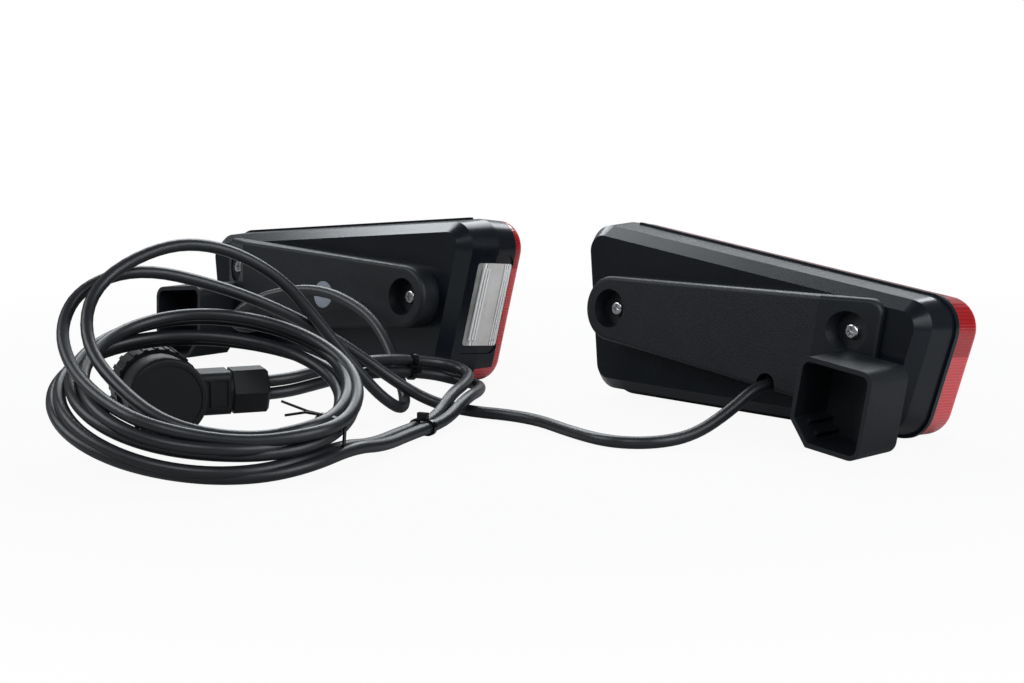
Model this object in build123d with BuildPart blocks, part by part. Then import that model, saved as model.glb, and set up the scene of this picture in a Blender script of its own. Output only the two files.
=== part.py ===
"""Light set for a bicycle carrier: two rear lamps on push-on brackets and a harness with a plug."""
import math
import os

from build123d import *

os.makedirs("parts", exist_ok=True)

# Lamp outline on the back face: x runs from the inner end to the outer end, z is up, y runs back to lens
back_length = 243.0
inner_height = 84.0
bottom_rise = 23.0
inner_slant = 25.3
outer_slant = 8.2
back_corner_radius = 9.0

# Lamp depth, from the back face to the front of the lens
bevel_width = 6.3
bevel_depth = 7.8
seam_flare = 9.0
seam_depth = 28.0
lens_depth = 52.0
lens_inset = 1.0
lens_edge_radius = 7.0
housing_wall = 2.6
lens_wall = 2.6
bead_height = 1.0
bead_width = 3.0
seal_thickness = 0.8
fit_clearance = 0.2

# Number-plate window in the inner end wall, inside a cheek that reaches further forward than the seam
cheek_depth = 43.0
cheek_end = 17.0
window_back = 15.0
window_low = 14.0
window_high = 65.0
window_wall = 2.2
window_radius = 2.0
frame_margin = 5.0
frame_sink = 0.8
frame_radius = 6.0

# Bracket screwed to the back of the lamp
bracket_inner_x = 37.7
bracket_inner_z = 44.5
bracket_inner_radius = 19.2
bracket_corner_radius = 8.0
bracket_outer_x = 222.0
bracket_top_z = 87.0
bracket_low_z = 25.3
bracket_height = 14.0
crease_x = 190.0
crease_height = 17.0
outer_edge_height = 3.6
bracket_wall = 3.0
bracket_edge_radius = 2.6
recess_radius = 11.5
recess_floor_radius = 9.8
recess_floor_height = 5.0
outer_screw_x = 207.0
outer_screw_z = 67.5

# Square socket of the bracket that pushes onto the carrier's tube
socket_inner_x = 203.0
socket_width = 48.0
socket_low_z = 6.3
socket_height = 47.7
socket_reach = 42.6
socket_length = 32.6
socket_floor = 4.0
socket_wall = 2.6
socket_radius = 7.0
socket_chamfer = 13.0
rail_width = 2.4
rail_height = 2.2
rail_length = 20.0
rail_spacing = 8.0

# Cable notch, grommet and the leads' round cable
notch_x = 163.0
notch_width = 13.0
notch_top_z = 34.0
grommet_low_z = 24.4
grommet_back = 1.0
grommet_front = 10.5
lead_radius = 3.4
lead_exit_z = 29.0
lead_inside = 6.0
bore_clearance = 0.1

# Screws that hold the bracket
screw_head_radius = 4.2
screw_head_height = 2.6
screw_radius = 2.1
screw_head_edge_radius = 1.2
screw_length = 16.0
cross_length = 4.8
cross_width = 1.1
cross_depth = 1.6
screw_hole_clearance = 0.15
boss_radius = 5.0
boss_depth = 15.0

# Light unit inside the lamp
board_inner_gap = 30.0
board_outer_gap = 17.0
board_length = back_length - board_inner_gap - board_outer_gap
board_height = 46.0
board_thickness = 1.6
board_x = board_inner_gap + board_length / 2
board_z = 49.0
board_depth = 18.0
post_radius = 3.5
post_inset = 12.0
post_spread_x = board_length - 2 * post_inset
post_spread_z = 32.0
reflector_thickness = 9.0
reflector_margin = 2.0
led_columns = 8
led_rows = 2
led_end_gap = 21.0
led_pitch_x = (board_length - 2 * led_end_gap) / (led_columns - 1)
led_pitch_z = 21.0
led_size = 3.4
led_height = 1.2
cup_radius = 8.5
cup_angle = 80.0
cup_hole_radius = 2.9
strip_height = 40.0
strip_width = 12.0
strip_thickness = 1.6
strip_x = 26.0
strip_led_count = 3
strip_led_pitch = 13.0

# Where the lamps stand: side by side on a flat surface, one a little further forward
lamp_half_gap = 20.5
lamp_stagger = 52.0

# Round blank sticker on one bracket
sticker_radius = 8.5
sticker_thickness = 0.3
sticker_x = 110.0
sticker_z = 47.0

# Angled plug: its axis lies flat, the cable leaves it sideways
plug_place = (-25.0, -248.0)
plug_heading = 155.0
cap_radius = 22.0
cap_thickness = 5.0
cap_rim = 3.2
cap_sink = 0.8
cap_edge_radius = 1.2
body_radius = 21.0
body_length = 25.0
neck_reach = 36.0
neck_width = 22.0
neck_height = 24.0
neck_radius = 4.0
grip_length = 7.0
grip_height = 15.0
grip_pitch = 10.0
grip_sink = 1.0
barrel_radius = 16.5
barrel_length = 22.0
barrel_wall = 2.0
barrel_bore = 14.0
collar_radius = 23.0
collar_clearance = 0.3
collar_margin = 1.0
collar_rib_count = 24
collar_rib_height = 0.8
collar_rib_width = 2.4
insert_length = 8.0
pin_radius = 1.2
pin_length = 12.0
pin_rings = [(0.0, 1), (5.2, 4), (10.4, 8)]
thread_radius = 9.5
thread_length = 9.0
seal_ring_width = 2.0
seal_ring_height = 1.8
nut_across_flats = 24.0
nut_length = 20.0
nut_chamfer = 1.6

# Harness: pair of tails from the plug, ties, coil and the two leads
pair_half = 3.6
tie_thickness = 1.1
tie_width = 3.0
tie_head_length = 6.0
tie_head_height = 4.6
coil_place = (24.5, -258.0, 35.0)
coil_half_width = 81.0
coil_half_depth = 73.0
coil_radial = 16.0
coil_thick = 16.0
coil_edge_radius = 6.0
coil_slope_side = -0.10
coil_slope_back = 0.34
view_heading = 45.0
wrap_angle = -25.0
wrap_thickness = 1.0
wrap_width = 2.0
wrap_room = 0.6
wrap_wire_radius = 0.7
wrap_wire_bend = 2.0
wrap_ends = [((-12, 0.6, 1.5), (-26, 3, 4.5)), ((-13, -0.8, 1.5), (-23, -5, 1))]
lead_bend = 20.0
bend_share = 0.45
nut_leave = 8.0
left_route = [
    (184, -26, 15.5),
    (181, -52, 5.5),
    (175, -76, 3.8),
    (157, -91, 3.8),
    (126, -87, 3.8),
    (74, -70, 3.8),
    (28, -86, 3.8),
    (3, -98, 13),
    (-12, -130, 40.6),
    (-17, -170, 64),
    (-27, -212, 83),
    (-41, -254, 95.2),
    (-51, -285, 86),
    (-43, -304, 68),
    (-19, -315, 51),
    (18, -321, 36),
    (56, -320, 20),
]
right_route = [
    (-183.5, -73, 27),
    (-175, -90, 37),
    (-156, -80, 52),
    (-120, -64, 60),
    (-80, -60, 50),
    (-50, -67, 35),
    (-26, -77, 11),
    (-4, -94, 4.4),
    (10, -112, 5),
    (4, -128, 19),
    (-10, -156, 60),
    (-13.5, -180, 87),
    (-23, -214, 106),
    (-34, -246, 107),
    (-41, -285, 88),
    (-20, -305, 60),
    (28, -309, 34),
    (62, -304, 18),
]
pair_route = [
    (-12, -156, 26),
    (-17, -128, 27),
    (-18, -94, 25.5),
    (-14, -62, 21),
    (-5, -44, 17),
    (15, -40, 14.5),
    (31, -58, 13.8),
    (42, -86, 13.8),
    (51, -118, 4.8),
    (64, -156, 4.8),
    (80, -190, 7),
    (90, -221, 14),
]
pair_lay = [
    (0, 0, 1),
    (0, 0, 1),
    (0, 0, 1),
    (0, 0, 1),
    (0.2, -0.5, 1.3),
    (-0.1, -1.0, 1.0),
    (-0.9, -0.9, 0.5),
    (-1.2, -0.5, 0.2),
    (-0.94, -0.35, 0),
    (-0.94, -0.35, 0),
    (-0.91, -0.42, 0),
    (-0.95, -0.31, 0),
]
upper_tie_run = 4
lower_tie_run = 10


def outline(depth, grow):
    """Lamp outline, grown outwards by a margin, on the plane at a depth in front of the back face."""
    corners = [
        (0, inner_height),
        (back_length, inner_height),
        (back_length - outer_slant, bottom_rise),
        (inner_slant, 0),
    ]
    with BuildSketch(Plane.XZ.offset(-depth)) as sketch:
        with BuildLine():
            Polyline(*corners, close=True)
        make_face()
        fillet(sketch.vertices(), radius=back_corner_radius)
        if grow:
            offset(amount=grow)
    return sketch.sketch


def flare_at(depth):
    """Growth of the lamp's outline at a depth between the seam and the front of the lens."""
    return seam_flare - lens_inset * (depth - seam_depth) / (lens_depth - seam_depth)


def shell_sections(inward, depth_end):
    """Sections of the lamp's outer form, moved inwards by a wall."""
    return [
        outline(bevel_depth, bevel_width - inward),
        outline(seam_depth, seam_flare - inward),
        outline(depth_end, flare_at(depth_end) - inward),
    ]


def end_wall_slice(outward, inward, depth_back, depth_front, low, high, radius):
    """Piece of the inner end wall between two depths and two heights, with rounded corners."""
    with BuildPart() as piece:
        loft(shell_sections(-outward, depth_front), ruled=True)
        loft(shell_sections(inward, depth_front), ruled=True, mode=Mode.SUBTRACT)
        with BuildSketch(Plane.YZ.offset(-2 * seam_flare)):
            with Locations(((depth_back + depth_front) / 2, (low + high) / 2)):
                RectangleRounded(depth_front - depth_back, high - low, radius)
        extrude(amount=2 * seam_flare + inner_slant + seam_flare, mode=Mode.INTERSECT)
    return piece.part


def front_region(depth_from, depth_to, x_from, x_to):
    """Block across the whole height of the lamp, used to cut the seam at the cheek."""
    with BuildPart() as block:
        with BuildSketch(Plane.XY.offset(-inner_height)):
            with Locations(((x_from + x_to) / 2, (depth_from + depth_to) / 2)):
                Rectangle(x_to - x_from, depth_to - depth_from)
        extrude(amount=3 * inner_height)
    return block.part


screw_places = [(bracket_inner_x, bracket_inner_z), (outer_screw_x, outer_screw_z)]

# Housing: bevelled tray with a bead at the seam, a cheek round the plate window, posts and bosses
with BuildPart() as housing:
    loft([outline(0, 0)] + shell_sections(0, cheek_depth), ruled=True)
    add(front_region(seam_depth, lens_depth, cheek_end, 2 * back_length), mode=Mode.SUBTRACT)
    with BuildSketch(Plane.XZ.offset(-seam_depth)):
        add(outline(0, seam_flare + bead_height))
        with Locations((cheek_end - back_length, inner_height / 2)):
            Rectangle(2 * back_length, 4 * inner_height, mode=Mode.SUBTRACT)
    extrude(amount=bead_width)
    loft(
        [outline(housing_wall, bevel_width * housing_wall / bevel_depth - housing_wall)]
        + shell_sections(housing_wall, cheek_depth),
        ruled=True,
        mode=Mode.SUBTRACT,
    )
    add(
        end_wall_slice(
            bead_height,
            frame_sink,
            window_back - frame_margin,
            cheek_depth,
            window_low - frame_margin,
            window_high + frame_margin,
            frame_radius,
        ),
        mode=Mode.SUBTRACT,
    )
    add(
        end_wall_slice(
            bead_height, 2 * housing_wall, window_back, cheek_depth, window_low, window_high, window_radius
        ),
        mode=Mode.SUBTRACT,
    )
    with BuildSketch(Plane.XZ.offset(-housing_wall / 2)):
        with Locations(*screw_places):
            Circle(boss_radius)
    extrude(amount=-(boss_depth - housing_wall / 2))
    with BuildSketch(Plane.XZ.offset(-housing_wall / 2)):
        with Locations((board_x, board_z)):
            with GridLocations(post_spread_x, post_spread_z, 2, 2):
                Circle(post_radius)
    extrude(amount=-(board_depth - housing_wall / 2))
    with BuildSketch(Plane.XZ):
        with Locations(*screw_places):
            Circle(screw_radius)
        with Locations((notch_x, lead_exit_z)):
            Circle(lead_radius + bore_clearance)
    extrude(amount=-boss_depth, mode=Mode.SUBTRACT)

# Lens: one red cover with a skirt, notched where the cheek comes forward
with BuildPart() as lens_core:
    loft(
        [
            outline(seam_depth, flare_at(seam_depth) - lens_wall),
            outline(lens_depth - lens_wall, flare_at(lens_depth) - lens_wall),
        ],
        ruled=True,
    )
    fillet(
        lens_core.faces().sort_by(Axis.Y)[-1].edges(),
        radius=lens_edge_radius - lens_wall,
    )
with BuildPart() as lens:
    loft(
        [
            outline(seam_depth + seal_thickness, flare_at(seam_depth + seal_thickness)),
            outline(lens_depth, flare_at(lens_depth)),
        ],
        ruled=True,
    )
    fillet(lens.faces().sort_by(Axis.Y)[-1].edges(), radius=lens_edge_radius)
    add(lens_core.part, mode=Mode.SUBTRACT)
    add(
        front_region(0, cheek_depth + fit_clearance, -back_length, cheek_end + fit_clearance),
        mode=Mode.SUBTRACT,
    )

# Seal: flat gasket between the housing's rim and the lens skirt
with BuildPart() as seal:
    with BuildSketch(Plane.XZ.offset(-seam_depth)):
        add(outline(0, seam_flare - fit_clearance))
        add(outline(0, seam_flare - housing_wall + fit_clearance), mode=Mode.SUBTRACT)
        with Locations((cheek_end + fit_clearance - back_length, inner_height / 2)):
            Rectangle(2 * back_length, 4 * inner_height, mode=Mode.SUBTRACT)
    extrude(amount=-seal_thickness)

# Number-plate window: clear slice of the end wall that closes the opening in the cheek
with BuildPart() as plate_window:
    add(
        end_wall_slice(
            -frame_sink,
            frame_sink + window_wall,
            window_back + fit_clearance,
            cheek_depth,
            window_low + fit_clearance,
            window_high - fit_clearance,
            window_radius,
        )
    )

# Circuit board on the housing's posts
with BuildPart() as circuit_board:
    with BuildSketch(Plane.XZ.offset(-board_depth)):
        with Locations((board_x, board_z)):
            RectangleRounded(board_length, board_height, post_radius)
    extrude(amount=-board_thickness)

# Rows of light-emitting diodes on the board
led_depth = board_depth + board_thickness
with BuildPart() as leds:
    with BuildSketch(Plane.XZ.offset(-led_depth)):
        with Locations((board_x, board_z)):
            with GridLocations(led_pitch_x, led_pitch_z, led_columns, led_rows):
                Rectangle(led_size, led_size)
    extrude(amount=-led_height)

# Reflector: plate with one flared cup for each diode, standing on the board
with BuildPart() as reflector:
    with BuildSketch(Plane.XZ.offset(-led_depth)):
        with Locations((board_x, board_z)):
            RectangleRounded(
                board_length - 2 * reflector_margin, board_height - 2 * reflector_margin, post_radius
            )
    extrude(amount=-reflector_thickness)
    with Locations(Plane.XZ.offset(-led_depth - reflector_thickness).rotated((180, 0, 0))):
        with Locations((board_x, -board_z)):
            with GridLocations(led_pitch_x, led_pitch_z, led_columns, led_rows):
                CounterSinkHole(
                    radius=cup_hole_radius,
                    counter_sink_radius=cup_radius,
                    depth=reflector_thickness,
                    counter_sink_angle=cup_angle,
                )

# Strip board behind the plate window, standing on the housing's back wall
strip_mid_z = (window_low + window_high) / 2
with BuildPart() as plate_light:
    with BuildSketch(Plane.XZ.offset(-housing_wall)):
        with Locations((strip_x, strip_mid_z)):
            Rectangle(strip_thickness, strip_height)
    extrude(amount=-strip_width)
    with BuildSketch(Plane.YZ.offset(strip_x)):
        with Locations((housing_wall + strip_width / 2, strip_mid_z)):
            with GridLocations(strip_led_pitch, strip_led_pitch, 1, strip_led_count):
                Rectangle(led_size, led_size)
    extrude(amount=-(strip_thickness / 2 + led_height))


def bracket_sketch(inset):
    """Outline of the bracket on the lamp's back: a round inner end and two rounded outer corners."""
    outer_x = bracket_outer_x - bracket_corner_radius
    with BuildSketch(Plane.XZ) as sketch:
        with Locations((bracket_inner_x, bracket_inner_z)):
            Circle(bracket_inner_radius - inset)
        with Locations(
            (outer_x, bracket_top_z - bracket_corner_radius),
            (outer_x, bracket_low_z + bracket_corner_radius),
        ):
            Circle(bracket_corner_radius - inset)
        make_hull()
    return sketch.sketch


def socket_sketch(inset):
    """Outline of the socket: a square with three round corners and one cut off."""
    with BuildSketch(Plane.XZ) as sketch:
        with Locations((socket_inner_x + socket_width / 2, socket_low_z + socket_height / 2)):
            Rectangle(socket_width, socket_height)
        chamfer(sketch.vertices().sort_by(lambda v: v.X + v.Y)[0], length=socket_chamfer)
        fillet(sketch.vertices().sort_by(lambda v: v.X + v.Y)[2:], radius=socket_radius)
        if inset:
            offset(amount=-inset)
    return sketch.sketch


face_slope = (crease_height - bracket_height) / (crease_x - bracket_inner_x)
inner_edge_x = bracket_inner_x - bracket_inner_radius
inner_edge_height = bracket_height - face_slope * bracket_inner_radius
notch_radius = notch_width / 2
notch_z = notch_top_z - notch_radius

# Hollow under the bracket's main face, left solid round the screws and the cable notch
with BuildPart() as bracket_core:
    with BuildSketch(Plane.XZ):
        add(bracket_sketch(bracket_wall))
        with Locations(*screw_places):
            Circle(recess_radius + bracket_wall, mode=Mode.SUBTRACT)
        with Locations((notch_x, notch_z)):
            Circle(notch_radius + bracket_wall, mode=Mode.SUBTRACT)
    extrude(amount=2 * crease_height)
    with BuildSketch(Plane.XY):
        with BuildLine():
            Polyline(
                (inner_edge_x, 0),
                (inner_edge_x, bracket_wall - inner_edge_height),
                (crease_x - bracket_wall, bracket_wall - crease_height),
                (crease_x - bracket_wall, 0),
                close=True,
            )
        make_face()
    extrude(amount=2 * inner_height, mode=Mode.INTERSECT)

# Rest pose: the lower edge level, then leaning until the lens edge and the socket's corner both touch down;
# the socket runs level in that pose
roll = math.atan(bottom_rise / (back_length - inner_slant - outer_slant))
lens_touch = lens_depth - lens_edge_radius
lens_low = -inner_slant * math.sin(roll) - flare_at(lens_touch)
socket_low = (
    (socket_low_z + socket_radius) * math.cos(roll)
    - (socket_inner_x + socket_width - socket_radius) * math.sin(roll)
    - socket_radius
)
lean = math.atan((lens_low - socket_low) / (lens_touch + socket_reach))
lamp_turn = (-math.degrees(lean), math.degrees(roll), 0)
socket_run = Vector(-math.sin(roll) * math.sin(lean), math.cos(lean), math.cos(roll) * math.sin(lean))

# Bracket: wedge with two screw recesses, a bent outer facet, a cable notch and the socket
recess_taper = math.degrees(
    math.atan((recess_radius - recess_floor_radius) / (bracket_height - recess_floor_height))
)
rail_mid = socket_chamfer / 2
rail_setback = socket_length - socket_floor - rail_length
rail_origin = Vector(0, -socket_reach, 0) + socket_run * rail_setback
rail_plane = Plane(origin=rail_origin, x_dir=(1, 0, 0), z_dir=(0, -1, 0))
with BuildPart() as bracket:
    with BuildSketch(Plane.XZ):
        add(bracket_sketch(0))
    extrude(amount=2 * crease_height)
    with BuildSketch(Plane.XY):
        with BuildLine():
            Polyline(
                (inner_edge_x, 0),
                (inner_edge_x, -inner_edge_height),
                (crease_x, -crease_height),
                (bracket_outer_x, -outer_edge_height),
                (bracket_outer_x, 0),
                close=True,
            )
        make_face()
    extrude(amount=2 * inner_height, mode=Mode.INTERSECT)
    face_edges = bracket.faces().filter_by(lambda f: f.normal_at().Y < -0.5).edges()
    fillet(face_edges.filter_by(lambda e: abs(e.center().X - crease_x) > 1), radius=bracket_edge_radius)
    add(bracket_core.part, mode=Mode.SUBTRACT)
    with BuildSketch(Plane.XZ):
        with Locations((socket_inner_x, bracket_low_z + bracket_edge_radius)):
            Rectangle(
                bracket_outer_x - socket_inner_x - bracket_edge_radius,
                socket_low_z + socket_height - bracket_low_z - bracket_edge_radius,
                align=(Align.MIN, Align.MIN),
            )
    extrude(amount=socket_reach - socket_length + bracket_wall)
    with BuildSketch(Plane.XZ.offset(socket_reach)):
        add(socket_sketch(0))
    extrude(amount=socket_length, dir=socket_run)
    with BuildSketch(Plane.XZ.offset(socket_reach)):
        add(socket_sketch(socket_wall))
    extrude(amount=socket_length - socket_floor, dir=socket_run, mode=Mode.SUBTRACT)
    with BuildSketch(rail_plane):
        for side in (-1, 1):
            along = side * rail_spacing / 2 * math.sqrt(0.5)
            inside = socket_wall * math.sqrt(0.5)
            place = (socket_inner_x + rail_mid + inside + along, socket_low_z + rail_mid + inside - along)
            with Locations(Location(place, 45)):
                Rectangle(2 * rail_height, rail_width)
    extrude(amount=rail_length, dir=socket_run)
    with BuildSketch(Plane.XZ.offset(recess_floor_height)):
        with Locations(*screw_places):
            Circle(recess_floor_radius)
    extrude(amount=crease_height, taper=-recess_taper, mode=Mode.SUBTRACT)
    with BuildSketch(Plane.XZ):
        with Locations(*screw_places):
            Circle(screw_radius + screw_hole_clearance)
        with Locations((notch_x, notch_z)):
            Circle(notch_radius)
            Rectangle(notch_width, notch_z, align=(Align.CENTER, Align.MAX))
    extrude(amount=2 * crease_height, mode=Mode.SUBTRACT)

# Two cross-head screws through the bracket into the housing's bosses
with BuildPart() as bracket_screws:
    with BuildSketch(Plane.XZ.offset(recess_floor_height)):
        with Locations(*screw_places):
            Circle(screw_head_radius)
    extrude(amount=screw_head_height)
    fillet(bracket_screws.edges().group_by(Axis.Y)[0], radius=screw_head_edge_radius)
    with BuildSketch(Plane.XZ.offset(recess_floor_height)):
        with Locations(*screw_places):
            Circle(screw_radius)
    extrude(amount=-screw_length)
    with BuildSketch(Plane.XZ.offset(recess_floor_height + screw_head_height)):
        with Locations(*screw_places):
            Rectangle(cross_length, cross_width)
            Rectangle(cross_width, cross_length)
    extrude(amount=-cross_depth, mode=Mode.SUBTRACT)

# Grommet in the notch, flat where the notch is open
with BuildPart() as grommet:
    with BuildSketch(Plane.XZ.offset(grommet_back)):
        with Locations((notch_x, notch_z)):
            Circle(notch_radius - fit_clearance)
        with Locations((notch_x, grommet_low_z)):
            Rectangle(2 * notch_width, notch_width, align=(Align.CENTER, Align.MAX), mode=Mode.SUBTRACT)
        with Locations((notch_x, lead_exit_z)):
            Circle(lead_radius + bore_clearance, mode=Mode.SUBTRACT)
    extrude(amount=grommet_front - grommet_back)

# Round sticker on the bracket's main face
sticker_turn = math.atan(face_slope)
sticker_height = bracket_height + face_slope * (sticker_x - bracket_inner_x)
sticker_plane = Plane(
    origin=(sticker_x, -sticker_height, sticker_z),
    x_dir=(math.cos(sticker_turn), -math.sin(sticker_turn), 0),
    z_dir=(-math.sin(sticker_turn), -math.cos(sticker_turn), 0),
)
with BuildPart() as sticker:
    with BuildSketch(sticker_plane):
        Circle(sticker_radius)
    extrude(amount=sticker_thickness)

lamp_pieces = {
    "housing": housing,
    "lens": lens,
    "seal": seal,
    "plate_window": plate_window,
    "circuit_board": circuit_board,
    "leds": leds,
    "reflector": reflector,
    "plate_light": plate_light,
    "bracket": bracket,
    "bracket_screws": bracket_screws,
    "grommet": grommet,
}
outer_form = Compound([housing.part, lens.part, bracket.part]).moved(Location((0, 0, 0), lamp_turn))
lamp_box = outer_form.bounding_box()
lamp_pose = Location(
    (lamp_half_gap, lamp_stagger / 2 - (lamp_box.min.Y + lamp_box.max.Y) / 2, -lamp_box.min.Z), lamp_turn
)
print("lamp stands at", [round(value, 4) for value in lamp_pose.position], "turned", lamp_turn)


def save(piece, name):
    """Label a piece and write it as a node of its own."""
    piece.label = name
    export_step(piece, f"parts/{name}.step")
    print(name, "valid" if piece.is_valid else "NOT VALID", round(piece.volume), "mm3")


def place_left(piece):
    """Piece of the lamp that stands at the positive end of the row."""
    with BuildPart() as placed:
        with Locations(lamp_pose):
            add(piece.part)
    return placed.part


def place_right(piece):
    """Mirrored piece of the lamp that stands at the negative end, set back by the stagger."""
    with BuildPart() as placed:
        with Locations((0, -lamp_stagger, 0)):
            add(place_left(piece).mirror(Plane.YZ))
    return placed.part


for name, piece in lamp_pieces.items():
    save(place_left(piece), f"left_{name}")
    save(place_right(piece), f"right_{name}")
save(place_right(sticker), "right_sticker")

# Plug frame: z runs from the cap to the contacts, x along the cable outlet
heading = math.radians(plug_heading)
mating = Vector(math.cos(heading), math.sin(heading), 0)
outlet = Vector(math.sin(heading), -math.cos(heading), 0)
plug_z = collar_radius + collar_rib_height
plug_origin = Vector(plug_place[0], plug_place[1], plug_z)
plug_plane = Plane(origin=plug_origin, x_dir=outlet, z_dir=mating)
plug_axis = Axis(plug_origin, mating)
neck_middle = cap_thickness + body_length / 2
barrel_start = cap_thickness + body_length
barrel_end = barrel_start + barrel_length
outlet_origin = plug_origin + mating * neck_middle
outlet_plane = Plane(origin=outlet_origin, x_dir=mating, z_dir=outlet)

with BuildPart() as plug_cap:
    with BuildSketch(plug_plane):
        Circle(cap_radius)
    extrude(amount=cap_thickness)
    fillet(plug_cap.edges().filter_by(GeomType.CIRCLE).sort_by(plug_axis)[0], radius=cap_edge_radius)
    with BuildSketch(plug_plane):
        Circle(cap_radius - cap_rim)
    extrude(amount=cap_sink, mode=Mode.SUBTRACT)

with BuildPart() as plug_body:
    with BuildSketch(plug_plane.offset(cap_thickness)):
        Circle(body_radius)
    extrude(amount=body_length)
    with BuildSketch(outlet_plane):
        RectangleRounded(neck_width, neck_height, neck_radius)
    extrude(amount=neck_reach)
    with BuildSketch(outlet_plane.offset(neck_reach)):
        Circle(thread_radius)
    extrude(amount=thread_length)
    with BuildSketch(plug_plane.offset(barrel_start)):
        Circle(barrel_radius)
    extrude(amount=barrel_length)
    with BuildSketch(plug_plane.offset(barrel_end)):
        Circle(barrel_radius - barrel_wall)
    extrude(amount=-barrel_bore, mode=Mode.SUBTRACT)
    with BuildSketch(plug_plane.offset(neck_middle - neck_width / 2)):
        with Locations((neck_reach - grip_pitch, 0)):
            with GridLocations(grip_pitch, 1, 2, 1):
                RectangleRounded(grip_length, grip_height, grip_sink)
    extrude(amount=grip_sink, mode=Mode.SUBTRACT)

with BuildPart() as plug_collar:
    with BuildSketch(plug_plane.offset(barrel_start + collar_margin)):
        Circle(collar_radius)
        with PolarLocations(collar_radius, collar_rib_count):
            Rectangle(2 * collar_rib_height, collar_rib_width)
        Circle(barrel_radius + collar_clearance, mode=Mode.SUBTRACT)
    extrude(amount=barrel_length - 2 * collar_margin)

insert_start = barrel_end - barrel_bore
with BuildPart() as plug_pins:
    with BuildSketch(plug_plane.offset(insert_start)):
        for radius, count in pin_rings:
            with PolarLocations(radius, count):
                Circle(pin_radius)
    extrude(amount=pin_length)

with BuildPart() as plug_insert:
    with BuildSketch(plug_plane.offset(insert_start)):
        Circle(barrel_radius - barrel_wall)
        for radius, count in pin_rings:
            with PolarLocations(radius, count):
                Circle(pin_radius, mode=Mode.SUBTRACT)
    extrude(amount=insert_length)

with BuildPart() as gland_seal:
    with BuildSketch(outlet_plane.offset(neck_reach)):
        Circle(thread_radius + seal_ring_height)
        Circle(thread_radius, mode=Mode.SUBTRACT)
    extrude(amount=seal_ring_width)

nut_start = neck_reach + seal_ring_width
nut_end = nut_start + nut_length
with BuildPart() as gland_nut:
    with BuildSketch(outlet_plane.offset(nut_start)):
        RegularPolygon(radius=nut_across_flats / 2, side_count=6, major_radius=False)
    extrude(amount=nut_length)
    chamfer(
        gland_nut.faces().sort_by(Axis(outlet_origin, outlet))[-1].edges(),
        length=nut_chamfer,
    )
    with BuildSketch(outlet_plane.offset(nut_start)):
        Circle(thread_radius)
    extrude(amount=thread_length - seal_ring_width, mode=Mode.SUBTRACT)
    with BuildSketch(outlet_plane.offset(nut_start)):
        SlotCenterToCenter(2 * pair_half, 2 * (lead_radius + bore_clearance), rotation=90)
    extrude(amount=nut_length, mode=Mode.SUBTRACT)

for name, piece in {
    "plug_cap": plug_cap,
    "plug_body": plug_body,
    "plug_collar": plug_collar,
    "plug_pins": plug_pins,
    "plug_insert": plug_insert,
    "gland_seal": gland_seal,
    "gland_nut": gland_nut,
}.items():
    save(piece.part, name)


def on_lamp(depth, side):
    """Point on the line along which a lead leaves its lamp."""
    point = (lamp_pose * Pos(notch_x, depth, lead_exit_z)).position
    if side > 0:
        return (point.X, point.Y, point.Z)
    return (-point.X, point.Y - lamp_stagger, point.Z)


def cable(name, points):
    """Round cable along straight runs, each corner rounded as far as the shorter run beside it allows."""
    places = [Vector(*point) for point in points]
    bends = []
    for before, corner, after in zip(places, places[1:], places[2:]):
        arriving = corner - before
        leaving = after - corner
        half_turn = math.radians(arriving.get_angle(leaving)) / 2
        bends.append(bend_share * min(arriving.length, leaving.length) / math.tan(half_turn))
    with BuildPart() as tube:
        with BuildLine() as route:
            FilletPolyline(*places, radius=bends)
        with BuildSketch(Plane(origin=route.line @ 0, z_dir=route.line % 0)):
            Circle(lead_radius)
        sweep()
    length = sum(edge.length for edge in route.edges())
    fill = tube.part.volume / (math.pi * lead_radius**2 * length)
    print(name, "length", round(length), "fill", round(fill, 3), "bends", [round(bend) for bend in bends])
    return tube.part


def pair_point(place, offset_to_upper, side):
    """Point of one strand of the pair beside a point of the pair's middle line."""
    return tuple(middle + side * pair_half * part for middle, part in zip(place, offset_to_upper))


# Leads from each lamp to the coil
for name, side, route in [("left_lead", 1, left_route), ("right_lead", -1, right_route)]:
    save(cable(name, [on_lamp(lead_inside, side), on_lamp(-lead_bend, side)] + route), name)

# Pair of tails from the plug to the coil, one strand above the other, then side by side
pair_start = outlet_origin + outlet * (neck_reach + thread_length)
pair_leave = outlet_origin + outlet * (nut_end + nut_leave)
pair_middle = [tuple(pair_start), tuple(pair_leave)] + pair_route
pair_offsets = [(0, 0, 1), (0, 0, 1)] + pair_lay
upper = [pair_point(place, lay, 1) for place, lay in zip(pair_middle, pair_offsets)]
lower = [pair_point(place, lay, -1) for place, lay in zip(pair_middle, pair_offsets)]
save(cable("left_tail", upper), "left_tail")
save(cable("right_tail", lower), "right_tail")

# Coil: one closed ring of the coil's outer shape, lower in front than behind
view = math.radians(view_heading)
side_dir = Vector(math.cos(view), math.sin(view), coil_slope_side)
back_dir = Vector(-math.sin(view), math.cos(view), coil_slope_back)
coil_plane = Plane(origin=coil_place, x_dir=side_dir, z_dir=side_dir.cross(back_dir))
with BuildPart() as coil:
    with BuildSketch(coil_plane.offset(-coil_thick / 2)):
        Ellipse(coil_half_width, coil_half_depth)
        Ellipse(coil_half_width - coil_radial, coil_half_depth - coil_radial, mode=Mode.SUBTRACT)
    extrude(amount=coil_thick)
    fillet(coil.edges(), radius=coil_edge_radius)
save(coil.part, "coil")


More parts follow.
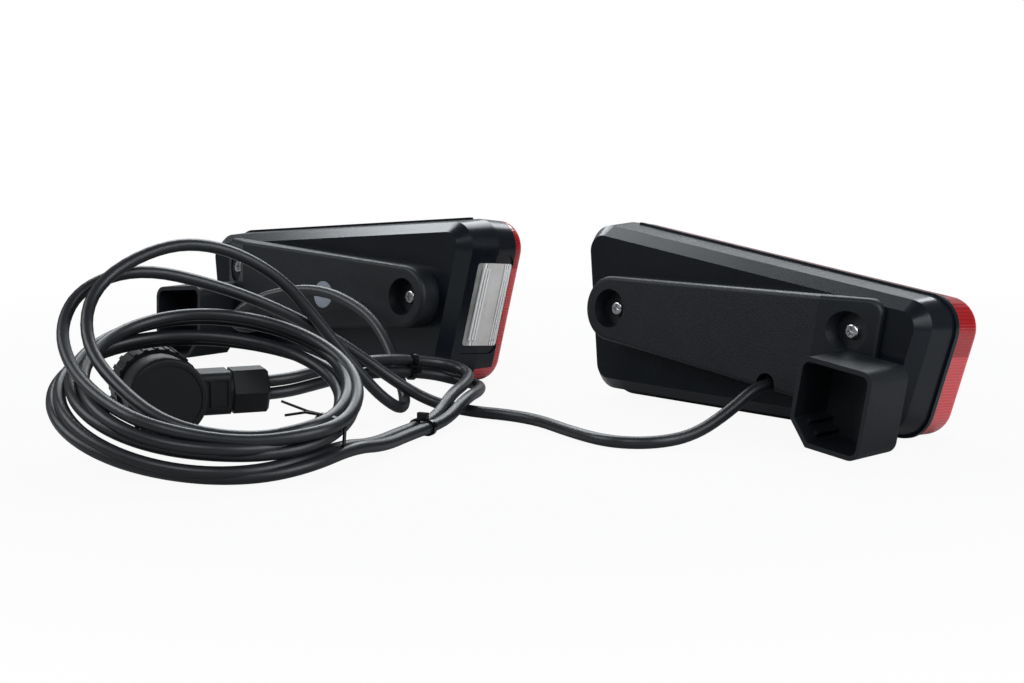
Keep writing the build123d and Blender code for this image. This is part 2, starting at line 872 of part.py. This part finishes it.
def tie(place, lay, run):
    """Cable tie round the pair: a strap with a square head on one side."""
    with BuildPart() as band:
        with BuildSketch(Plane(origin=place, x_dir=lay, z_dir=run).offset(-tie_width / 2)) as strap:
            SlotCenterToCenter(2 * pair_half, 2 * (lead_radius + bore_clearance + tie_thickness))
            with Locations((0, lead_radius + bore_clearance)):
                Rectangle(tie_head_length, tie_head_height, align=(Align.CENTER, Align.MIN))
            SlotCenterToCenter(2 * pair_half, 2 * (lead_radius + bore_clearance), mode=Mode.SUBTRACT)
        extrude(amount=tie_width)
    return band.part


# The lower tie lies on the table, so it is turned to have its head on top
for name, run_index, way in [("upper_tie", upper_tie_run, 1), ("lower_tie", lower_tie_run, -1)]:
    start = Vector(*pair_middle[run_index])
    end = Vector(*pair_middle[run_index + 1])
    save(tie((start + end) / 2, Vector(*pair_offsets[run_index]), (end - start) * way), name)

# Wire tie round the coil, with its two ends twisted together
wrap = math.radians(wrap_angle)
wrap_side = coil_half_width - coil_radial / 2
wrap_back = coil_half_depth - coil_radial / 2
wrap_local = Vector(wrap_side * math.cos(wrap), wrap_back * math.sin(wrap), 0)
wrap_run = Vector(-wrap_side * math.sin(wrap), wrap_back * math.cos(wrap), 0)
wrap_origin = coil_plane.from_local_coords(wrap_local)
wrap_along = coil_plane.from_local_coords(wrap_local + wrap_run) - wrap_origin
wrap_plane = Plane(origin=wrap_origin, x_dir=wrap_along.cross(coil_plane.z_dir), z_dir=wrap_along)
wrap_top = wrap_local + Vector(0, 0, (coil_thick + wrap_room + wrap_thickness) / 2)
with BuildPart() as wire_tie:
    with BuildSketch(wrap_plane.offset(-wrap_width / 2)):
        RectangleRounded(
            coil_radial + wrap_room + 2 * wrap_thickness,
            coil_thick + wrap_room + 2 * wrap_thickness,
            coil_edge_radius,
        )
        RectangleRounded(
            coil_radial + wrap_room,
            coil_thick + wrap_room,
            coil_edge_radius - wrap_thickness,
            mode=Mode.SUBTRACT,
        )
    extrude(amount=wrap_width)
    for middle, end in wrap_ends:
        places = [coil_plane.from_local_coords(wrap_top + Vector(*step)) for step in ((0, 0, 0), middle, end)]
        with BuildLine() as wire:
            FilletPolyline(*places, radius=wrap_wire_bend)
        with BuildSketch(Plane(origin=wire.line @ 0, z_dir=wire.line % 0)):
            Circle(wrap_wire_radius)
        sweep()
save(wire_tie.part, "wire_tie")
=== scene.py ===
import math

import bpy
from mathutils import Matrix, Vector


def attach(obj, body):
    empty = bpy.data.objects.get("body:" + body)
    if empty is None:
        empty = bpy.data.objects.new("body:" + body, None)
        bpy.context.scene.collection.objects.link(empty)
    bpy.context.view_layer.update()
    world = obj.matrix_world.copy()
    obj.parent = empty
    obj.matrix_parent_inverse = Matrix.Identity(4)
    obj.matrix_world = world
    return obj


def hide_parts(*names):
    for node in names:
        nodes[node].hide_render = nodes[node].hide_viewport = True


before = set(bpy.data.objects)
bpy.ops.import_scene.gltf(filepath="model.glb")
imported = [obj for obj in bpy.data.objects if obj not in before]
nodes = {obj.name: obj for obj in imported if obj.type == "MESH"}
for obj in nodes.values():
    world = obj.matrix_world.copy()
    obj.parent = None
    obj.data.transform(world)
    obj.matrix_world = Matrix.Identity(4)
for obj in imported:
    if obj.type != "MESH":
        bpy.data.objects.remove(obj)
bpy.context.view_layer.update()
mm = 0.001
sides = {"left": 1, "right": -1}
print("frame loaded:", len(nodes), "pieces")


# how each lamp stands: degrees and millimetres as the part's source prints them
lampPose = {"roll": 6.265138, "lean": 6.095249, "place": (20.5, 17.9563, 15.8019), "stagger": 52.0}
lampTurn = (Matrix.Rotation(math.radians(-lampPose["lean"]), 3, "X")
            @ Matrix.Rotation(math.radians(lampPose["roll"]), 3, "Y"))
lampPlace = Vector(lampPose["place"]) * mm


def onLamp(side, x, y, z):
    # a point of a lamp's own frame, in mm, in the row's frame; side 1 is the left lamp, -1 the right one
    point = lampTurn @ (Vector((x, y, z)) * mm) + lampPlace
    if side < 0:
        point = Vector((-point.x, point.y - lampPose["stagger"] * mm, point.z))
    return point


# noise patterns: detail and roughness
noiseKinds = {"soft": (3.0, 0.5), "cloud": (4.0, 0.5), "grain": (2.0, 0.6)}


# one socket of a node tree; an expression on sockets adds its Math nodes
class Knot:
    def __init__(self, tree, out):
        self.tree = tree
        self.out = out

    def make(self, kind, settings, sockets, output=0):
        node = self.tree.nodes.new(kind)
        for key, value in settings.items():
            setattr(node, key, value)
        for key, value in sockets.items():
            if isinstance(value, Knot):
                self.tree.links.new(value.out, node.inputs[key])
            else:
                node.inputs[key].default_value = value
        return Knot(self.tree, node.outputs[output])

    def math(self, operation, *values):
        return self.make("ShaderNodeMath", {"operation": operation}, dict(enumerate(values)))

    def __add__(self, other):
        return self.math("ADD", self, other)

    def __radd__(self, other):
        return self.math("ADD", other, self)

    def __sub__(self, other):
        return self.math("SUBTRACT", self, other)

    def __rsub__(self, other):
        return self.math("SUBTRACT", other, self)

    def __mul__(self, other):
        return self.math("MULTIPLY", self, other)

    def __rmul__(self, other):
        return self.math("MULTIPLY", other, self)

    def above(self, edge, soft):
        # 0 below an edge and 1 above it, with a soft step
        return self.make("ShaderNodeMapRange", {"interpolation_type": "SMOOTHSTEP"},
                         {"Value": self, "From Min": edge - soft, "From Max": edge + soft})

    def between(self, low, high, soft):
        return self.above(low, soft) * (1 - self.above(high, soft))

    def wave(self, pitch):
        # a ridge profile from 0 to 1 that repeats over a pitch
        return self.math("SINE", self * (2 * math.pi / pitch)) * 0.5 + 0.5

    def noise(self, scale, kind="soft"):
        detail, roughness = noiseKinds[kind]
        return self.make("ShaderNodeTexNoise", {},
                         {"Vector": self, "Scale": scale, "Detail": detail, "Roughness": roughness})

    def along(self, axis, start):
        # distance from the origin along an axis, plus start
        dot = self.make("ShaderNodeVectorMath", {"operation": "DOT_PRODUCT"}, {0: self, 1: axis},
                        output="Value")
        return dot + start

    def tint(self, low, high):
        # two colours, or sockets that carry them, mixed as this value goes from 0 to 1
        low, high = (end if isinstance(end, Knot) else (*end, 1.0) for end in (low, high))
        return self.make("ShaderNodeMix", {"data_type": "RGBA"}, {0: self, 6: low, 7: high}, output=2)

    def shadedBy(self, other):
        # this colour multiplied by another
        return self.make("ShaderNodeMix", {"data_type": "RGBA", "blend_type": "MULTIPLY"},
                         {0: 1.0, 6: self, 7: other}, output=2)

    def bump(self, strength, distance):
        return self.make("ShaderNodeBump", {}, {"Height": self, "Strength": strength, "Distance": distance})


def newMaterial(name, uniform):
    # a plain Principled material; gives the material, its shader node and the object's coordinates
    material = bpy.data.materials.new(name)
    material.use_nodes = True
    tree = material.node_tree
    shader = tree.nodes["Principled BSDF"]
    for key, value in uniform.items():
        shader.inputs[key].default_value = value
    coords = tree.nodes.new("ShaderNodeTexCoord")
    return material, shader, Knot(tree, coords.outputs["Object"])


def feed(shader, **sockets):
    for key, value in sockets.items():
        socket = shader.inputs[key.replace("_", " ")]
        value.tree.links.new(value.out, socket)


def lampAxes(place, side):
    # distances along a lamp's own length, depth and height, in metres
    values = []
    for column in range(3):
        axis = lampTurn.col[column].copy()
        start = -axis.dot(lampPlace)
        if side < 0:
            start += axis.y * lampPose["stagger"] * mm
            axis.x = -axis.x
        values.append(place.along(tuple(axis), start))
    return values


def dress(names, material):
    for name in names:
        piece = nodes[name]
        piece.data.materials.clear()
        piece.data.materials.append(material)


# black plastics: satin housing, grained bracket, matte plug, rubber and glossy ties; grain depth is in mm
plasticBase = {"uniform": {"IOR": 1.5, "Specular IOR Level": 0.34}, "cloudScale": 38.0, "cloudShare": 0.6}
blackPlastics = {
    "housingSatin": {"low": (0.0028, 0.0044, 0.0072), "high": (0.0056, 0.0078, 0.0118), "rough": (0.21, 0.31),
                     "grain": 2600.0, "depth": 0.02, "strength": 0.12},
    "bracketGrain": {"low": (0.0022, 0.0034, 0.0054), "high": (0.0095, 0.0118, 0.0155), "rough": (0.34, 0.60),
                     "grain": 1150.0, "depth": 0.16, "strength": 0.85},
    "plugMatte": {"low": (0.0035, 0.0036, 0.0040), "high": (0.0080, 0.0082, 0.0088), "rough": (0.42, 0.58),
                  "grain": 1700.0, "depth": 0.08, "strength": 0.40},
    "sealRubber": {"low": (0.004, 0.004, 0.0042), "high": (0.008, 0.008, 0.0082), "rough": (0.55, 0.70),
                   "grain": 1700.0, "depth": 0.06, "strength": 0.30},
    "tieGloss": {"low": (0.003, 0.003, 0.0033), "high": (0.007, 0.007, 0.0075), "rough": (0.16, 0.26),
                 "grain": 900.0, "depth": 0.02, "strength": 0.10},
}


def blackPlastic(name):
    look = blackPlastics[name]
    material, shader, place = newMaterial(name, plasticBase["uniform"])
    cloud = place.noise(plasticBase["cloudScale"], "cloud")
    grain = place.noise(look["grain"], "grain")
    share = plasticBase["cloudShare"]
    low, high = look["rough"]
    feed(shader, Base_Color=(cloud * share + grain * (1 - share)).tint(look["low"], look["high"]),
         Roughness=low + (cloud * 0.5 + grain * 0.5) * (high - low),
         Normal=grain.bump(look["strength"], look["depth"] * mm))
    return material


plastics = {name: blackPlastic(name) for name in blackPlastics}
for name in sides:
    dress([name + "_housing"], plastics["housingSatin"])
    dress([name + "_bracket"], plastics["bracketGrain"])
    dress([name + "_seal", name + "_grommet"], plastics["sealRubber"])
dress(["plug_cap", "plug_body", "plug_collar", "plug_insert", "gland_nut"], plastics["plugMatte"])
dress(["gland_seal"], plastics["sealRubber"])
dress(["upper_tie", "lower_tie", "wire_tie"], plastics["tieGloss"])


# red lens: a dark band along the top, paler red below, fine level ribs round its sides;
# the front is hidden in the photograph and has plain upright flutes and a prism reflector panel
lensLook = {
    "uniform": {"IOR": 1.49, "Transmission Weight": 0.12, "Coat Weight": 0.3, "Coat Roughness": 0.05},
    "deep": (0.52, 0.005, 0.010), "pale": (0.88, 0.07, 0.08),
    "shadow": (0.62, 0.62, 0.62), "lit": (1.0, 1.0, 1.0),
    "bandLow": 62.0, "bandSoft": 0.6, "ribPitch": 1.7, "frontDepth": 51.4, "frontSoft": 0.3,
    "panelLength": (48.0, 112.0), "panelHeight": (20.0, 54.0), "panelSoft": 0.4,
    "flutePitch": 5.0, "prismPitch": 3.0, "reliefDepth": 0.3, "reliefStrength": 0.35, "reliefShare": 0.7,
    "cloudScale": 60.0, "rough": 0.12,
}


def redLens(side):
    look = lensLook
    material, shader, place = newMaterial("redLens" + str(side), look["uniform"])
    length, depth, height = lampAxes(place, side)
    band = height.above(look["bandLow"] * mm, look["bandSoft"] * mm)
    front = depth.above(look["frontDepth"] * mm, look["frontSoft"] * mm)
    panel = front
    for reach, (low, high) in ((length, look["panelLength"]), (height, look["panelHeight"])):
        panel = panel * reach.between(low * mm, high * mm, look["panelSoft"] * mm)
    rib = height.wave(look["ribPitch"] * mm)
    flute = length.wave(look["flutePitch"] * mm)
    prism = length.wave(look["prismPitch"] * mm) * height.wave(look["prismPitch"] * mm)
    relief = rib * (1 - front) + front * (flute * (1 - panel) + prism * panel)
    cloud = place.noise(look["cloudScale"])
    red = (band * (1 - panel) + panel).tint(look["pale"], look["deep"])
    # painted light and shade: the red is darkened in the troughs of the ribs, flutes and prisms, mixed with
    # random cloud tone
    share = look["reliefShare"]
    paintedRibShade = (relief * share + cloud * (1 - share)).tint(look["shadow"], look["lit"])
    feed(shader, Base_Color=red.shadedBy(paintedRibShade), Roughness=look["rough"] + cloud * look["rough"],
         Normal=relief.bump(look["reliefStrength"], look["reliefDepth"] * mm))
    return material


for name, side in sides.items():
    dress([name + "_lens"], redLens(side))


# clear plate window: near-white base colour as a painted reflection, painted shade by its back edge, darker
# down its middle, with upright ridges on its face and painted shade lines between them; depths run from the
# lamp's back, in mm
windowLook = {
    "uniform": {"IOR": 1.49, "Coat Weight": 0.5, "Coat Roughness": 0.05},
    # pale: near-white base colour that stands in for the clear plastic's bright reflections, a painted
    # reflection
    "pale": (0.96, 0.955, 0.94), "brown": (0.44, 0.40, 0.37), "paintedShade": (0.06, 0.055, 0.05),
    # painted shade by the back edge: where it ends, how soft its edge is, and how strong it is
    "shadeEnd": 19.5, "shadeSoft": 0.5, "shadeShare": (0.55, 0.4),
    "broad": (22.5, 37.0), "broadSoft": 0.8, "broadShare": (0.25, 0.6),
    # painted shade lines between the upright ridges, at these depths
    "shadeLines": (19.8, 22.0, 36.4, 38.3, 40.2), "lineWide": 0.5, "lineSoft": 0.12,
    "cloudScale": 90.0, "clarity": 0.08, "haze": 0.12, "waviness": 0.15, "waveDepth": 0.3,
}
# clear ridges: their near-white base colour is a painted reflection of the clear plastic
ridgeLook = {
    "uniform": {"IOR": 1.49, "Coat Weight": 0.5, "Coat Roughness": 0.04},
    "low": (0.86, 0.86, 0.85), "high": (0.98, 0.98, 0.97), "cloudScale": 260.0, "clarity": 0.08, "haze": 0.1,
    "depths": (18.5, 21.0, 23.2, 37.4, 39.4, 41.2), "wide": 1.1, "proud": 0.6, "ends": (16.5, 62.5),
    "roundShare": 0.4, "facing": 0.7,
}


def clearWindow(side):
    look = windowLook
    material, shader, place = newMaterial("clearWindow" + str(side), look["uniform"])
    depth = lampAxes(place, side)[1]
    cloud = place.noise(look["cloudScale"])
    # painted shade: a darker strip along the window's back edge
    back = 1 - depth.above(look["shadeEnd"] * mm, look["shadeSoft"] * mm)
    low, high = look["broad"]
    broad = depth.between(low * mm, high * mm, look["broadSoft"] * mm)
    least, more = look["shadeShare"]
    base = (back * (least + cloud * more)).tint(look["pale"], look["paintedShade"])
    least, more = look["broadShare"]
    base = (broad * (least + cloud * more)).tint(base, look["brown"])
    # painted shade: thin dark lines between the upright ridges
    for low in look["shadeLines"]:
        line = depth.between(low * mm, (low + look["lineWide"]) * mm, look["lineSoft"] * mm)
        base = line.tint(base, look["paintedShade"])
    feed(shader, Base_Color=base, Roughness=look["clarity"] + cloud * look["haze"],
         Normal=cloud.bump(look["waviness"], look["waveDepth"] * mm))
    return material


def clearRidge():
    look = ridgeLook
    material, shader, place = newMaterial("clearRidge", look["uniform"])
    cloud = place.noise(look["cloudScale"])
    feed(shader, Base_Color=cloud.tint(look["low"], look["high"]),
         Roughness=look["clarity"] + cloud * look["haze"])
    return material


def windowRidges(name, side, material):
    # upright ridges on the pane's outer face, which is found as the outermost of its large faces
    look = ridgeLook
    lengthAxis = (onLamp(side, 1, 0, 0) - onLamp(side, 0, 0, 0)).normalized()
    upAxis = (onLamp(side, 0, 0, 1) - onLamp(side, 0, 0, 0)).normalized()
    faces = [face for face in nodes[name + "_plate_window"].data.polygons
             if face.normal.dot(lengthAxis) < -look["facing"]]
    widest = max(face.area for face in faces)
    large = [face for face in faces if face.area > widest / 2]
    pane = min(large, key=lambda face: face.center.dot(lengthAxis))
    normal = pane.normal.copy()
    upright = (upAxis - normal * upAxis.dot(normal)).normalized()
    turn = Matrix((normal.cross(upright), normal, upright)).transposed().to_4x4()
    low, high = look["ends"]
    sizes = Matrix.Diagonal((look["wide"] * mm, 2 * look["proud"] * mm, (high - low) * mm, 1))
    bars = []
    for depth in look["depths"]:
        middle = onLamp(side, 0, depth, (low + high) / 2)
        middle += lengthAxis * ((pane.center - middle).dot(normal) / lengthAxis.dot(normal))
        bpy.ops.object.select_all(action="DESELECT")
        bpy.ops.mesh.primitive_cube_add(size=1)
        bar = bpy.context.object
        bar.data.transform(Matrix.Translation(middle) @ turn @ sizes)
        rounding = bar.modifiers.new("rounding", "BEVEL")
        rounding.width = look["roundShare"] * look["proud"] * mm
        rounding.segments = 2
        bpy.ops.object.modifier_apply(modifier=rounding.name)
        bars.append(bar)
    for bar in bars:
        bar.select_set(True)
    bpy.ops.object.join()
    ridges = bpy.context.object
    ridges.name = name + "WindowRidges"
    ridges.data.materials.append(material)
    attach(ridges, "light_set")


ridgeClear = clearRidge()
for name, side in sides.items():
    dress([name + "_plate_window"], clearWindow(side))
    windowRidges(name, side, ridgeClear)


# inside pieces, small metal and the label
finishes = {
    "boardGreen": {"low": (0.010, 0.09, 0.035), "high": (0.018, 0.13, 0.05), "rough": (0.3, 0.5),
                   "scale": 300.0},
    "diodePale": {"low": (0.78, 0.68, 0.35), "high": (0.88, 0.8, 0.5), "rough": (0.2, 0.35),
                  "scale": 500.0},
    "reflectorMetal": {"low": (0.7, 0.7, 0.72), "high": (0.82, 0.82, 0.84), "rough": (0.08, 0.2),
                       "scale": 200.0, "metallic": 1.0},
    "screwSteel": {"low": (0.52, 0.52, 0.53), "high": (0.72, 0.72, 0.73), "rough": (0.18, 0.34),
                   "scale": 900.0, "metallic": 1.0},
    "pinBrass": {"low": (0.62, 0.48, 0.22), "high": (0.75, 0.6, 0.32), "rough": (0.2, 0.35),
                 "scale": 700.0, "metallic": 1.0},
    "stickerFilm": {"low": (0.20, 0.225, 0.26), "high": (0.30, 0.33, 0.375), "rough": (0.35, 0.5),
                    "scale": 420.0},
}
finishBump = {"strength": 0.08, "depth": 0.05}


def finish(name):
    look = finishes[name]
    material, shader, place = newMaterial(name, {"Metallic": look.get("metallic", 0.0)})
    cloud = place.noise(look["scale"], "cloud")
    low, high = look["rough"]
    feed(shader, Base_Color=cloud.tint(look["low"], look["high"]), Roughness=low + cloud * (high - low),
         Normal=cloud.bump(finishBump["strength"], finishBump["depth"] * mm))
    return material


finished = {name: finish(name) for name in finishes}
for name in sides:
    dress([name + "_circuit_board", name + "_plate_light"], finished["boardGreen"])
    dress([name + "_leds"], finished["diodePale"])
    dress([name + "_reflector"], finished["reflectorMetal"])
    dress([name + "_bracket_screws"], finished["screwSteel"])
dress(["plug_pins"], finished["pinBrass"])
dress(["right_sticker"], finished["stickerFilm"])
print("materials on", len(nodes), "pieces")


# the two leads, in mm: each runs from its lamp, round the coil and on to the plug
leads = {
    "thick": 6.8,
    "roundness": 5,
    "smoothness": 6,
    "length": 2000.0,
    "bend": 20.0,
    "inside": 6.0,
    "notch": (163.0, 29.0),
    "left": [(184, -26, 15.5), (181, -52, 5.5), (175, -76, 3.8), (157, -91, 3.8), (126, -87, 3.8),
             (74, -70, 3.8), (28, -86, 3.8), (3, -98, 13), (-12, -130, 40.6), (-17, -170, 64),
             (-27, -212, 83), (-41, -254, 95.2), (-51, -285, 86), (-43, -304, 68), (-19, -315, 51),
             (18, -321, 38), (57, -318, 29), (84, -284, 20)],
    "right": [(-183.5, -73, 27), (-175, -90, 37), (-156, -80, 52), (-120, -64, 60), (-80, -60, 50),
              (-50, -67, 35), (-26, -77, 11), (-4, -94, 4.4), (10, -112, 5), (4, -128, 19),
              (-10, -156, 60), (-13.5, -180, 87), (-23, -214, 106), (-34, -246, 107), (-41, -285, 88),
              (-20, -305, 60), (28, -309, 37), (60, -302, 26), (80, -272, 20)],
}
# the pair of strands from the plug to the coil: the middle line, and which way each strand lies from it
pair = {
    "half": 3.6,
    "plug": (-25.0, -248.0, 23.8),
    "heading": 155.0,
    "neckMiddle": 17.5,
    "starts": (45.0, 66.0),
    "middle": [(-12, -156, 26), (-17, -128, 27), (-18, -94, 25.5), (-15, -64, 21), (-8, -50, 17),
               (8, -49, 14.5), (23, -66, 13.8), (38, -91, 13.8), (51, -118, 4.8), (64, -156, 4.8),
               (80, -190, 5.5), (89, -218, 10)],
    "lay": [(0, 0, 1), (0, 0, 1), (0, 0, 1), (0, 0, 1), (0.2, -0.5, 1.3), (-0.1, -1.0, 1.0),
            (-0.9, -0.9, 0.5), (-1.2, -0.5, 0.2), (-0.94, -0.35, 0), (-0.94, -0.35, 0),
            (-0.91, -0.42, 0), (-0.95, -0.31, 0)],
}
# where each pass of the coil lies across the ring: an angle in degrees, then how far outwards and upwards
# it is from the ring's middle line
coil = {
    "place": (24.5, -258.0, 36.0),
    "halfWidth": 72.0,
    "halfDepth": 64.0,
    "heading": 45.0,
    "slopeSide": -0.10,
    "slopeBack": 0.35,
    "step": 20.0,
    "left": [(318, 5, 9), (335, 5.1, 5.9), (450, -2, 9), (540, -9, 6), (630, 2, 7), (695, -5.1, 0),
             (810, -3, -3), (900, 4, -3), (990, 3, -4.5), (1055, -1.7, -6.4)],
    "right": [(318, -1, 9), (335, -1.7, 5.9), (450, 3, 4), (540, -2, 2), (630, -2.5, 2), (695, 1.7, 0),
              (810, 3, -8), (900, 8, -8), (990, 1, -8), (1055, 5.1, -6.8)],
}


def coilPoint(angle, outwards, upwards):
    # a point of the ring in the row's frame, set out so that the smooth curve keeps the ring's size
    spread = 2 / (1 + math.cos(math.radians(coil["step"])))
    across = (coil["halfWidth"] + outwards) * math.cos(math.radians(angle)) * spread
    back = (coil["halfDepth"] + outwards) * math.sin(math.radians(angle)) * spread
    heading = math.radians(coil["heading"])
    x, y, z = coil["place"]
    return (x + across * math.cos(heading) - back * math.sin(heading),
            y + across * math.sin(heading) + back * math.cos(heading),
            z + coil["slopeSide"] * across + coil["slopeBack"] * back + upwards)


def coilTurns(passes):
    points = []
    angle = passes[0][0]
    while angle <= passes[-1][0]:
        for (a0, r0, u0), (a1, r1, u1) in zip(passes, passes[1:]):
            if a0 <= angle <= a1:
                share = (angle - a0) / (a1 - a0)
                ease = share * share * (3 - 2 * share)
                points.append(coilPoint(angle, r0 + (r1 - r0) * ease, u0 + (u1 - u0) * ease))
                break
        angle += coil["step"]
    return points


def tailPoints(side):
    heading = math.radians(pair["heading"])
    mating = Vector((math.cos(heading), math.sin(heading), 0))
    outlet = Vector((math.sin(heading), -math.cos(heading), 0))
    neck = Vector(pair["plug"]) + mating * pair["neckMiddle"]
    middle = [neck + outlet * reach for reach in pair["starts"]] + [Vector(point) for point in pair["middle"]]
    lay = [(0, 0, 1)] * len(pair["starts"]) + pair["lay"]
    return [tuple(point + Vector(way) * side * pair["half"]) for point, way in zip(middle, lay)]


def leadCurve(name, points):
    # one smooth spline along the route's points, given in mm
    curve = bpy.data.curves.new(name, "CURVE")
    curve.dimensions = "3D"
    curve.bevel_depth = leads["thick"] / 2 * mm
    curve.bevel_resolution = leads["roundness"]
    curve.resolution_u = leads["smoothness"]
    curve.use_fill_caps = True
    spline = curve.splines.new("NURBS")
    spline.points.add(len(points) - 1)
    for knot, point in zip(spline.points, points):
        knot.co = (*[value * mm for value in point], 1.0)
    spline.order_u = 3
    spline.use_endpoint_u = True
    piece = bpy.data.objects.new(name, curve)
    bpy.context.collection.objects.link(piece)
    return piece


sheathLook = {"uniform": {"IOR": 1.5}, "low": (0.0060, 0.0070, 0.0090), "high": (0.0140, 0.0155, 0.0190),
              "cloudScale": 120.0, "grain": 1400.0, "rough": 0.29, "cloudRough": 0.12, "grainRough": 0.08,
              "strength": 0.18, "depth": 0.04}


def cableSheath():
    look = sheathLook
    material, shader, place = newMaterial("cableSheath", look["uniform"])
    cloud = place.noise(look["cloudScale"], "cloud")
    grain = place.noise(look["grain"], "grain")
    feed(shader, Base_Color=(cloud * 0.5 + grain * 0.5).tint(look["low"], look["high"]),
         Roughness=look["rough"] + cloud * look["cloudRough"] + grain * look["grainRough"],
         Normal=grain.bump(look["strength"], look["depth"] * mm))
    return material


sheath = cableSheath()
replaced = {"left": ["left_lead", "left_tail", "coil"], "right": ["right_lead", "right_tail"]}
notchX, notchZ = leads["notch"]
for name, side in sides.items():
    start = [tuple(onLamp(side, notchX, y, notchZ) / mm) for y in (leads["inside"], -leads["bend"])]
    route = start + leads[name] + coilTurns(coil[name]) + tailPoints(side)[::-1]
    cable = leadCurve(name + "Cable", route)
    cable.data.materials.append(sheath)
    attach(cable, "light_set")
    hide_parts(*replaced[name])
print("leads laid")


# studio: pale floor that the camera sees fade to white, white surround, broad soft lamps
studio = {"floor": (0.42, 0.42, 0.42, 1.0), "floorRough": 0.9, "white": (1.0, 1.0, 1.0, 1.0), "size": 8.0,
          "ambient": 0.12, "glow": 0.93, "fadeMiddle": 0.52, "fadeSoft": 0.18, "lampTone": (0.92, 0.965, 1.0)}
bpy.ops.object.select_all(action="DESELECT")
bpy.ops.mesh.primitive_plane_add(size=studio["size"], location=(0, 0, 0))
floor = bpy.context.object
floor.name = "floor"
floorLook = {"Base Color": studio["floor"], "Roughness": studio["floorRough"]}
floorPale, floorShader, floorPlace = newMaterial("floorPale", floorLook)
seen = floorPlace.make("ShaderNodeLightPath", {}, {}, output="Is Camera Ray")
reach = floorPlace.make("ShaderNodeVectorMath", {"operation": "LENGTH"}, {0: floorPlace}, output="Value")
fade = reach.above(studio["fadeMiddle"], studio["fadeSoft"])
glow = floorPlace.make("ShaderNodeEmission", {}, {"Color": studio["white"], "Strength": 1.0})
lit = Knot(floorPale.node_tree, floorShader.outputs["BSDF"])
glowShare = seen * (studio["glow"] + fade * (1 - studio["glow"]))
surface = floorPlace.make("ShaderNodeMixShader", {}, {0: glowShare, 1: lit, 2: glow})
floorPale.node_tree.links.new(surface.out, floorPale.node_tree.nodes["Material Output"].inputs["Surface"])
floor.data.materials.append(floorPale)

world = bpy.data.worlds.new("studio")
bpy.context.scene.world = world
world.use_nodes = True
sky = world.node_tree.nodes["Background"]
sky.inputs["Color"].default_value = studio["white"]
sky.inputs["Strength"].default_value = studio["ambient"]
dim = Knot(world.node_tree, sky.outputs["Background"])
seen = dim.make("ShaderNodeLightPath", {}, {}, output="Is Camera Ray")
bright = dim.make("ShaderNodeBackground", {}, {"Color": studio["white"], "Strength": 1.0})
surround = dim.make("ShaderNodeMixShader", {}, {0: seen, 1: dim, 2: bright})
world.node_tree.links.new(surround.out, world.node_tree.nodes["World Output"].inputs["Surface"])

# soft lamps: places and sizes in metres, power in watts
softLamps = {
    "overhead": {"place": (-0.80, 0.80, 1.10), "target": (0, -0.1, 0), "size": (1.6, 0.8), "power": 27.0},
    "leftSide": {"place": (-0.9, -1.1, 0.9), "target": (0, -0.1, 0.05), "size": (0.8, 0.8), "power": 9.0},
    "rightSide": {"place": (1.3, 0.1, 0.7), "target": (0, 0, 0.05), "size": (0.9, 0.9), "power": 12.0},
    "behind": {"place": (-1.0, 1.3, 0.55), "target": (0, 0, 0.1), "size": (2.4, 0.9), "power": 1.6},
    "front": {"place": (0.75, -1.35, 1.25), "target": (0, -0.2, 0.03), "size": (1.0, 0.6), "power": 9.0},
}
for name, look in softLamps.items():
    bpy.ops.object.light_add(type="AREA", location=look["place"])
    lamp = bpy.context.object
    lamp.name = name
    lamp.data.shape = "RECTANGLE"
    lamp.data.size, lamp.data.size_y = look["size"]
    lamp.data.energy = look["power"]
    lamp.data.color = studio["lampTone"]
    way = Vector(look["target"]) - Vector(look["place"])
    lamp.rotation_euler = way.to_track_quat("-Z", "Y").to_euler()
    lamp.visible_camera = False

# camera: where the photograph was taken from, in mm and degrees
cameraLook = {"place": (936.0, -946.0, 237.3), "heading": 45.0, "pitch": 8.8, "sensorWidth": 36.0,
              "focalPixels": 2200.0, "frameWidth": 1024.0}
cameraData = bpy.data.cameras.new("camera")
cameraData.sensor_width = cameraLook["sensorWidth"]
cameraData.lens = cameraLook["sensorWidth"] * cameraLook["focalPixels"] / cameraLook["frameWidth"]
camera = bpy.data.objects.new("camera", cameraData)
bpy.context.collection.objects.link(camera)
camera.location = Vector(cameraLook["place"]) * mm
camera.rotation_euler = (math.radians(90 - cameraLook["pitch"]), 0, math.radians(cameraLook["heading"]))
bpy.context.scene.camera = camera
bpy.context.scene.view_settings.view_transform = "Standard"
print("studio ready")
